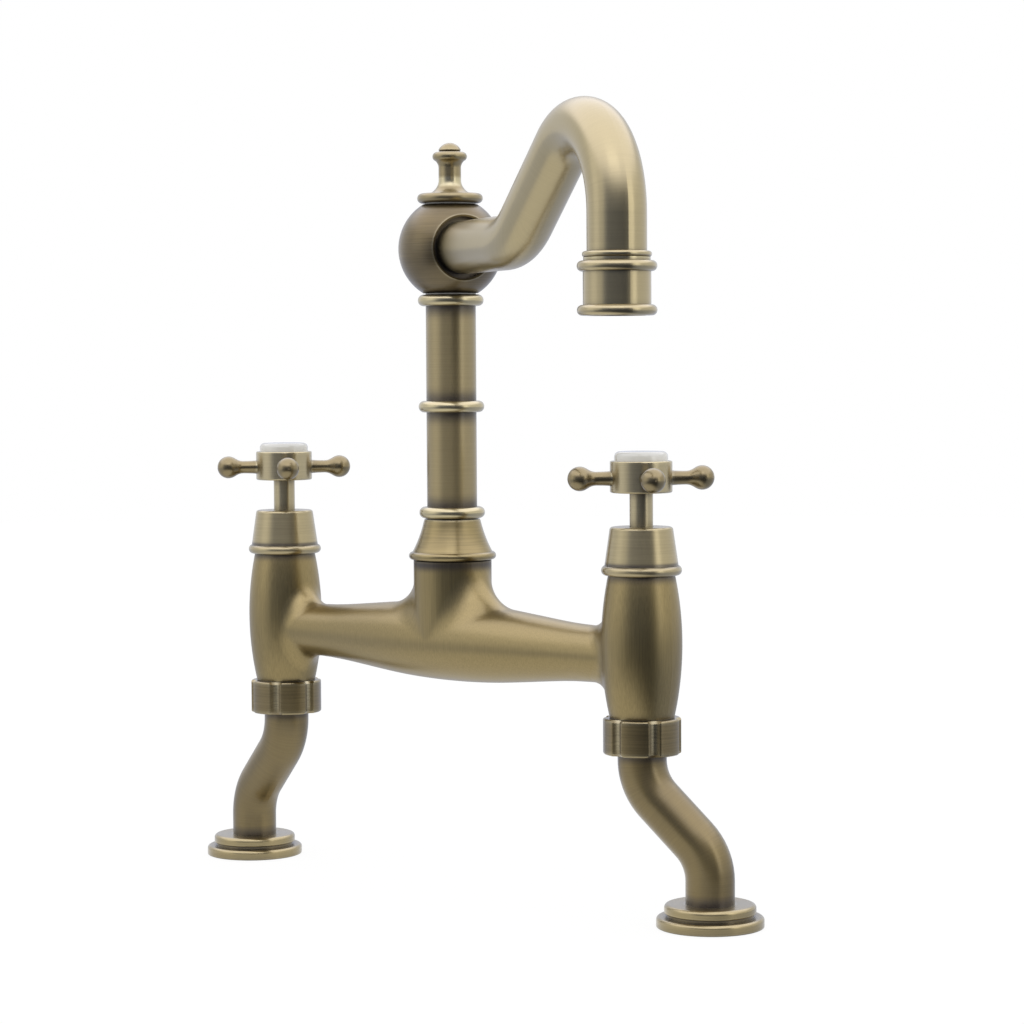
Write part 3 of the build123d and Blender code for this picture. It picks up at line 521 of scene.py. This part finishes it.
class FAUCET_OT_spout(bpy.types.Operator):
    """Finishes the swivel ball, the spout and its outlet"""

    bl_idname = "faucet.spout"
    bl_label = "Ball, spout and outlet"

    # The spout's centre line, with its heading in degrees and the rest in mm. It leaves the ball level,
    # rises, and arches over to the outlet. The bends are the radii of its corners.
    heading = -25.8
    reach, level_run, rise = 189.0, 82.39, 34.4
    bends = (42.3, 35.0)

    def execute(self, context):
        outlet = upright_axis("outlet_collar")
        level = middle("spout_ball").z
        top = level + (self.reach - self.level_run) * MM * math.tan(math.radians(self.rise))
        corners = [
            (0, level), (self.level_run * MM, level), (self.reach * MM, top),
            (self.reach * MM, foot_of("outlet_collar")),
        ]
        tube = (math.radians(self.heading), corners, [radius * MM for radius in self.bends])
        ball = antique_brass(
            "antique_brass_ball", relief=-0.4, tarnish=0.6, stretch=0.4, streaks=0.18
        )
        spout = antique_brass(
            "antique_brass_spout", grain="tube", tube=tube, relief=0.6, rough=0.27, streaks=0.05
        )
        collar = antique_brass("antique_brass_outlet", outlet, relief=0.6, rough=0.26, streaks=0.04)
        cover_with(ball, "spout_ball")
        cover_with(spout, "spout_tube")
        cover_with(collar, "outlet_collar")
        return {"FINISHED"}


class FAUCET_OT_handles(bpy.types.Operator):
    """Finishes the cross handles, their covers and porcelain indices"""

    bl_idname = "faucet.handles"
    bl_label = "Handles and covers"

    def execute(self, context):
        finish = context.scene.faucet_finish
        # Vitreous porcelain: warm white under a clear glaze, with a faint unevenness in the glaze.
        glazed = plain_finish(
            "glazed_porcelain", finish.glaze, 14, 0.015, 0.06, Coat_Weight=0.6, Coat_Roughness=0.03,
            Specular_IOR_Level=0.6,
        )
        for side in SIDES:
            pillar = upright_axis(f"headwork_cover_{side}")
            cover = foot_of(f"headwork_cover_{side}")
            bead = [(cover + 4.5 * MM, 1.5 * MM)]
            cover_with(
                antique_brass(
                    f"antique_brass_cover_{side}", pillar, bands=bead, relief=0.55, streaks=0.10
                ),
                f"headwork_cover_{side}",
            )
            cover_with(
                antique_brass(f"antique_brass_hub_{side}", pillar, relief=0.85, streaks=0.08),
                f"handle_hub_{side}",
            )
            cover_with(
                antique_brass(
                    f"antique_brass_arms_{side}", pillar, tarnish=0.3, rough=0.27, stretch=0.0,
                    streaks=0.03,
                ),
                f"handle_arms_{side}",
            )
            cover_with(glazed, f"porcelain_index_{side}")
        return {"FINISHED"}


class FAUCET_OT_legs(bpy.types.Operator):
    """Finishes the union nuts, cranked legs and deck flanges"""

    bl_idname = "faucet.legs"
    bl_label = "Unions, legs and flanges"

    # The way each leg cranks, in degrees, and the legs' centre line in mm: how far it cranks from the
    # pillar's axis, the heights of its corners and of its foot, and the corners' radius.
    headings = {"left": 170.5, "right": 22.4}
    crank, upper_corner, lower_corner, foot, bend = 29.3, 58.1, 28.8, -60.0, 23.7
    # The G 1/2 parallel thread on the shanks, in mm: its pitch, its depth and where it begins.
    pitch, depth, thread_top = 1.814, 1.162, -3.0

    def execute(self, context):
        for side in SIDES:
            pillar = upright_axis(f"union_nut_{side}")
            flange = upright_axis(f"deck_flange_{side}")
            nut_foot = foot_of(f"union_nut_{side}")
            flange_top = top_of(f"deck_flange_{side}")
            corners = [
                (0, nut_foot), (0, self.upper_corner * MM), (self.crank * MM, self.lower_corner * MM),
                (self.crank * MM, self.foot * MM),
            ]
            tube = (math.radians(self.headings[side]), corners, [self.bend * MM, self.bend * MM])
            thread = (flange, self.pitch * MM, self.thread_top * MM, self.depth * MM)
            cover_with(
                antique_brass(
                    f"antique_brass_nut_{side}", pillar, relief=-0.2, tarnish=0.35, wear_mm=2.4,
                    rough=0.28, stretch=0.3, streaks=0.16,
                ),
                f"union_nut_{side}",
            )
            cover_with(
                antique_brass(
                    f"antique_brass_leg_{side}", pillar, grain="tube", tube=tube,
                    bands=[(0, 6 * MM), (self.visible_length(nut_foot, flange_top), 8 * MM)],
                    relief=-0.25, tarnish=0.35, rough=0.33, streaks=0.08, thread=thread,
                ),
                f"leg_{side}",
            )
            cover_with(
                antique_brass(f"antique_brass_flange_{side}", flange, relief=0.2, rough=0.27),
                f"deck_flange_{side}",
            )
        return {"FINISHED"}

    def visible_length(self, nut_foot, flange_top):
        """Length of a leg's centre line from the nut down to the flange."""
        drop = (self.upper_corner - self.lower_corner) * MM
        slope = math.atan2(self.crank * MM, drop)
        cut = self.bend * MM * math.tan(slope / 2)
        straight = nut_foot - flange_top - drop - 2 * cut
        return straight + math.hypot(self.crank * MM, drop) - 2 * cut + 2 * self.bend * MM * slope


class FAUCET_OT_fittings(bpy.types.Operator):
    """Finishes the fittings under the deck and the works inside"""

    bl_idname = "faucet.fittings"
    bl_label = "Fittings and works"

    def execute(self, context):
        finish = context.scene.faucet_finish
        # Machined brass: bright yellow, with turning lines.
        raw = plain_finish("machined_brass", finish.raw_brass, 0.5, 0.06, 0.22, 0.02, Metallic=1.0)
        # Nitrile rubber: nearly black, matt, with a little bloom.
        rubber = plain_finish("nitrile_rubber", finish.rubber, 3, 0.15, 0.62, 0.02)
        # Vulcanised fibre: red-brown and dull.
        fibre = plain_finish("vulcanised_fibre", finish.fibre, 1.5, 0.12, 0.6, 0.03)
        # Stainless steel: grey, with fine brushing.
        steel = plain_finish("stainless_steel", finish.steel, 0.6, 0.05, 0.24, 0.01, Metallic=1.0)
        # Acetal: smooth off-white mouldings.
        acetal = plain_finish("acetal", finish.plastic, 4, 0.03, 0.35, 0.01)
        # Lapped alumina: pale and almost polished.
        alumina = plain_finish("lapped_alumina", finish.ceramic, 2, 0.02, 0.15)
        cover_with(raw, "swivel_core", "aerator_housing")
        cover_with(rubber, "column_seal", "core_o_ring_lower", "core_o_ring_upper", "aerator_washer")
        cover_with(acetal, "swivel_washer_lower", "swivel_washer_upper", "aerator_insert")
        cover_with(steel, "aerator_screen")
        for side in SIDES:
            cover_with(raw, *[f"{n}_{side}" for n in ("headwork_body", "spindle", "backnut")])
            seals = ("headwork_seal", "spindle_o_ring", "flange_gasket", "deck_washer")
            cover_with(rubber, *[f"{seal}_{side}" for seal in seals])
            cover_with(steel, f"handle_screw_{side}", f"clamp_washer_{side}")
            cover_with(fibre, f"union_washer_{side}")
            cover_with(alumina, f"fixed_disc_{side}", f"moving_disc_{side}")
        return {"FINISHED"}


# ---- Studio ----


class FAUCET_OT_stage(bpy.types.Operator):
    """Sets up the floor, the light and the camera"""

    bl_idname = "faucet.stage"
    bl_label = "Studio"

    # The camera that the photograph was taken with, in the model's frame.
    eye = Vector((0.89635, -0.90063, 0.23435))
    yaw, pitch, roll = 43.681, 3.038, -0.350
    lens, sensor = 101.94, 36.0

    # How light each side of the studio looks in polished metal: degrees from the way to the camera,
    # to its right, and the level. The side behind the camera is dim, and a little cool.
    lit_sides = (
        (-180, 0.70), (-165, 0.78), (-148, 0.92), (-58, 0.92), (-46, 0.38), (-36, 0.22), (0, 0.16),
        (36, 0.10), (46, 1.05), (148, 0.92), (165, 0.78), (180, 0.70),
    )
    # The same for the floor away from the bright pool round the faucet. This is painted light and shade,
    # which the floor glows with for polished metal only.
    painted_floor_sides = (
        (-180, 0.65), (-100, 0.75), (-66, 0.65), (-52, 0.20), (-36, 0.10), (0, 0.06), (36, 0.05),
        (50, 0.42), (100, 0.58), (180, 0.65),
    )
    dim_tint = (0.85, 1.0, 1.5)
    # The ceiling's level, its share of blue, and the sine of the steepness at which it begins to show
    # and shows whole.
    ceiling_level, ceiling_blue = 1.85, 1.1
    ceiling_rise = (0.38, 0.60)
    # The painted pool of light round the faucet, which polished metal sees in the floor: its level, its
    # middle, and how far from there it begins to fade and has ended.
    painted_pool_level = 1.0
    painted_pool_centre = Vector((0, -0.15, 0))
    painted_pool_fade = (0.16, 0.34)
    # The floor: a little under the deck plane, so that the flanges' undersides aren't in one place with
    # it. The camera sees a plain white in it, mixed with a share of the matt floor's shadow.
    floor_radius, floor_drop, floor_corners = 3.0, 0.3 * MM, 96
    floor_colour = "#eeeeee"
    floor_white, white_share = 1.06, 0.88
    # What the lights face, and each light's place, width and height. The top light's place is how far
    # out towards the camera it is, and how far up.
    light_aim = Vector((0, 0, 0.17))
    key_light = (Vector((-0.75, -1.05, 0.55)), 0.60, 0.70)
    fill_light = (Vector((1.25, 0.15, 0.45)), 0.35, 0.70)
    top_light_out, top_light_up, top_light_size = 1.0, 1.25, (0.80, 0.30)

    def execute(self, context):
        self.make_camera(context)
        self.make_floor()
        self.make_world(context)
        self.make_lights(context)
        context.scene.view_settings.view_transform = "Standard"
        return {"FINISHED"}

    def make_camera(self, context):
        """The photograph's camera."""
        data = bpy.data.cameras.new("camera")
        data.lens, data.sensor_width = self.lens, self.sensor
        camera = bpy.data.objects.new("camera", data)
        context.scene.collection.objects.link(camera)
        context.scene.camera = camera
        yaw, pitch, roll = (math.radians(a) for a in (self.yaw, self.pitch, self.roll))
        ahead = Vector(
            (-math.sin(yaw) * math.cos(pitch), math.cos(yaw) * math.cos(pitch), -math.sin(pitch))
        )
        level = Vector((math.cos(yaw), math.sin(yaw), 0))
        upward = level.cross(ahead)
        across = math.cos(roll) * level + math.sin(roll) * upward
        upright = -math.sin(roll) * level + math.cos(roll) * upward
        turn = Matrix((across, upright, -ahead)).transposed()
        camera.matrix_world = Matrix.Translation(self.eye) @ turn.to_4x4()

    def to_camera(self):
        """Level direction from the faucet to the camera."""
        return Vector((self.eye.x, self.eye.y, 0)).normalized()

    def seen_plainly(self, tree, rays):
        """1 for rays that come to a thing straight from the camera or through glass, else 0."""
        return add_node(
            tree, "ShaderNodeMath", {0: rays["Is Camera Ray"], 1: rays["Is Transmission Ray"]},
            operation="MAXIMUM",
        )

    def around(self, tree, way, sides):
        """What polished metal sees in a level direction, from the levels of the sides."""
        ahead = self.to_camera()
        right = ahead.cross(Vector((0, 0, -1)))
        facing = add_node(tree, "ShaderNodeVectorMath", {0: way, 1: ahead}, operation="DOT_PRODUCT")
        beside = add_node(tree, "ShaderNodeVectorMath", {0: way, 1: right}, operation="DOT_PRODUCT")
        angle = add_node(
            tree, "ShaderNodeMath", {0: beside.outputs["Value"], 1: facing.outputs["Value"]},
            operation="ARCTAN2",
        )
        turn = add_node(
            tree, "ShaderNodeMath", {0: angle, 1: 1 / math.tau, 2: 0.5}, operation="MULTIPLY_ADD"
        )
        ramp = add_node(tree, "ShaderNodeValToRGB", {0: turn})
        stops = ramp.color_ramp.elements
        while len(stops) < len(sides):
            stops.new(0.5)
        for stop, (degrees, level) in zip(stops, sides):
            stop.position = degrees / 360 + 0.5
            stop.color = (*[level * (tint + (1 - tint) * level) for tint in self.dim_tint], 1.0)
        return ramp

    def make_floor(self):
        """A pale floor that keeps a faint shadow, and shows white behind the faucet. Polished metal sees a
        painted glow in it: a bright pool of light round the faucet, and painted shade further out.
        """
        bpy.ops.object.select_all(action="DESELECT")
        bpy.ops.mesh.primitive_circle_add(
            vertices=self.floor_corners, radius=self.floor_radius, fill_type="NGON",
            location=(0, 0, -self.floor_drop),
        )
        floor = bpy.context.object
        floor.name = "floor"
        material = bpy.data.materials.new("painted_floor")
        material.use_nodes = True
        tree = material.node_tree
        tree.nodes.clear()
        rays = add_node(tree, "ShaderNodeLightPath").outputs
        matt = add_node(tree, "ShaderNodeBsdfDiffuse", {"Color": linear(self.floor_colour)})
        white = add_node(tree, "ShaderNodeEmission", {"Strength": self.floor_white})
        seen = self.seen_plainly(tree, rays)
        shown = add_node(tree, "ShaderNodeMath", {0: seen, 1: self.white_share}, operation="MULTIPLY")
        base = add_node(tree, "ShaderNodeMixShader", {0: shown, 1: matt, 2: white})
        # Painted light and shade that only polished metal sees in the floor: a bright pool round the
        # faucet, dimmer further out and darkest towards the camera.
        where = add_node(tree, "ShaderNodeTexCoord").outputs["Object"]
        distance = add_node(
            tree, "ShaderNodeVectorMath", {0: where, 1: self.painted_pool_centre}, operation="DISTANCE"
        )
        off_painted_pool = add_node(
            tree, "ShaderNodeMapRange",
            {
                "Value": distance.outputs["Value"], "From Min": self.painted_pool_fade[0],
                "From Max": self.painted_pool_fade[1],
            },
            interpolation_type="SMOOTHSTEP",
        )
        far = self.around(tree, where, self.painted_floor_sides)
        level = self.painted_pool_level
        painted_reflection = add_node(
            tree, "ShaderNodeMix", {0: off_painted_pool, MIX_A: (level, level, level, 1), MIX_B: far},
            data_type="RGBA",
        )
        painted_glow = add_node(tree, "ShaderNodeEmission", {"Color": painted_reflection.outputs[MIX_RESULT]})
        whole = add_node(tree, "ShaderNodeMixShader", {0: rays["Is Glossy Ray"], 1: base, 2: painted_glow})
        add_node(tree, "ShaderNodeOutputMaterial", {"Surface": whole})
        floor.data.materials.append(material)

    def make_world(self, context):
        """White all round. Polished metal sees the studio's lit sides, its dim one and the ceiling."""
        world = bpy.data.worlds.new("studio")
        context.scene.world = world
        world.use_nodes = True
        tree = world.node_tree
        tree.nodes.clear()
        rays = add_node(tree, "ShaderNodeLightPath").outputs
        way = add_node(tree, "ShaderNodeTexCoord").outputs["Generated"]
        rise = add_node(tree, "ShaderNodeSeparateXYZ", {0: way}).outputs["Z"]
        overhead = add_node(
            tree, "ShaderNodeMapRange",
            {"Value": rise, "From Min": self.ceiling_rise[0], "From Max": self.ceiling_rise[1]},
            interpolation_type="SMOOTHSTEP",
        )
        level = self.ceiling_level
        mirrored = add_node(
            tree, "ShaderNodeMix",
            {
                0: overhead, MIX_A: self.around(tree, way, self.lit_sides),
                MIX_B: (level, level, level * self.ceiling_blue, 1),
            },
            data_type="RGBA",
        )
        studio = context.scene.faucet_studio
        white = (1, 1, 1, 1)
        backdrop = add_node(tree, "ShaderNodeBackground", {"Color": white, "Strength": 1.0})
        matt = add_node(tree, "ShaderNodeBackground", {"Color": white, "Strength": studio.surround})
        glossy = add_node(tree, "ShaderNodeBackground", {"Color": mirrored.outputs[MIX_RESULT]})
        seen = self.seen_plainly(tree, rays)
        plain = add_node(tree, "ShaderNodeMixShader", {0: seen, 1: matt, 2: backdrop})
        whole = add_node(tree, "ShaderNodeMixShader", {0: rays["Is Glossy Ray"], 1: plain, 2: glossy})
        add_node(tree, "ShaderNodeOutputWorld", {"Surface": whole})

    def make_lights(self, context):
        """A large soft light on the left, a narrower one on the right, and one above the camera."""
        studio = context.scene.faucet_studio
        above = self.to_camera() * self.top_light_out + Vector((0, 0, self.top_light_up))
        lights = (
            ("key_light", *self.key_light, studio.key_watts),
            ("fill_light", *self.fill_light, studio.fill_watts),
            ("top_light", above, *self.top_light_size, studio.top_watts),
        )
        for name, place, width, height, watts in lights:
            data = bpy.data.lights.new(name, "AREA")
            data.shape = "RECTANGLE"
            data.size, data.size_y, data.energy = width, height, watts
            light = bpy.data.objects.new(name, data)
            light.location = place
            light.rotation_euler = (self.light_aim - place).to_track_quat("-Z", "Y").to_euler()
            context.scene.collection.objects.link(light)


# ---- Sidebar and registration ----

PIECE_STEPS = (
    FAUCET_OT_casting, FAUCET_OT_column, FAUCET_OT_spout, FAUCET_OT_handles, FAUCET_OT_legs,
    FAUCET_OT_fittings, FAUCET_OT_stage,
)


class FAUCET_PT_steps(bpy.types.Panel):
    """Lists the steps and what a user may change"""

    bl_idname = "FAUCET_PT_steps"
    bl_label = "Bridge kitchen faucet"
    bl_space_type = "VIEW_3D"
    bl_region_type = "UI"
    bl_category = "Faucet"

    def draw(self, context):
        for group in (context.scene.faucet_finish, context.scene.faucet_studio):
            box = self.layout.box()
            for name in group.bl_rna.properties.keys():
                if name not in ("rna_type", "name"):
                    box.prop(group, name)
        for step in PIECE_STEPS:
            self.layout.operator(step.bl_idname)


CLASSES = (FaucetFinish, FaucetStudio, *PIECE_STEPS, FAUCET_PT_steps)


def register():
    """Registers the classes and hangs the settings on the scene."""
    for cls in CLASSES:
        bpy.utils.register_class(cls)
    bpy.types.Scene.faucet_finish = bpy.props.PointerProperty(type=FaucetFinish)
    bpy.types.Scene.faucet_studio = bpy.props.PointerProperty(type=FaucetStudio)


def unregister():
    """Undoes register."""
    del bpy.types.Scene.faucet_studio
    del bpy.types.Scene.faucet_finish
    for cls in reversed(CLASSES):
        bpy.utils.unregister_class(cls)


def main():
    """Runs every step in order."""
    register()
    for step in PIECE_STEPS:
        group, name = step.bl_idname.split(".")
        getattr(getattr(bpy.ops, group), name)()


if __name__ == "__main__":
    main()
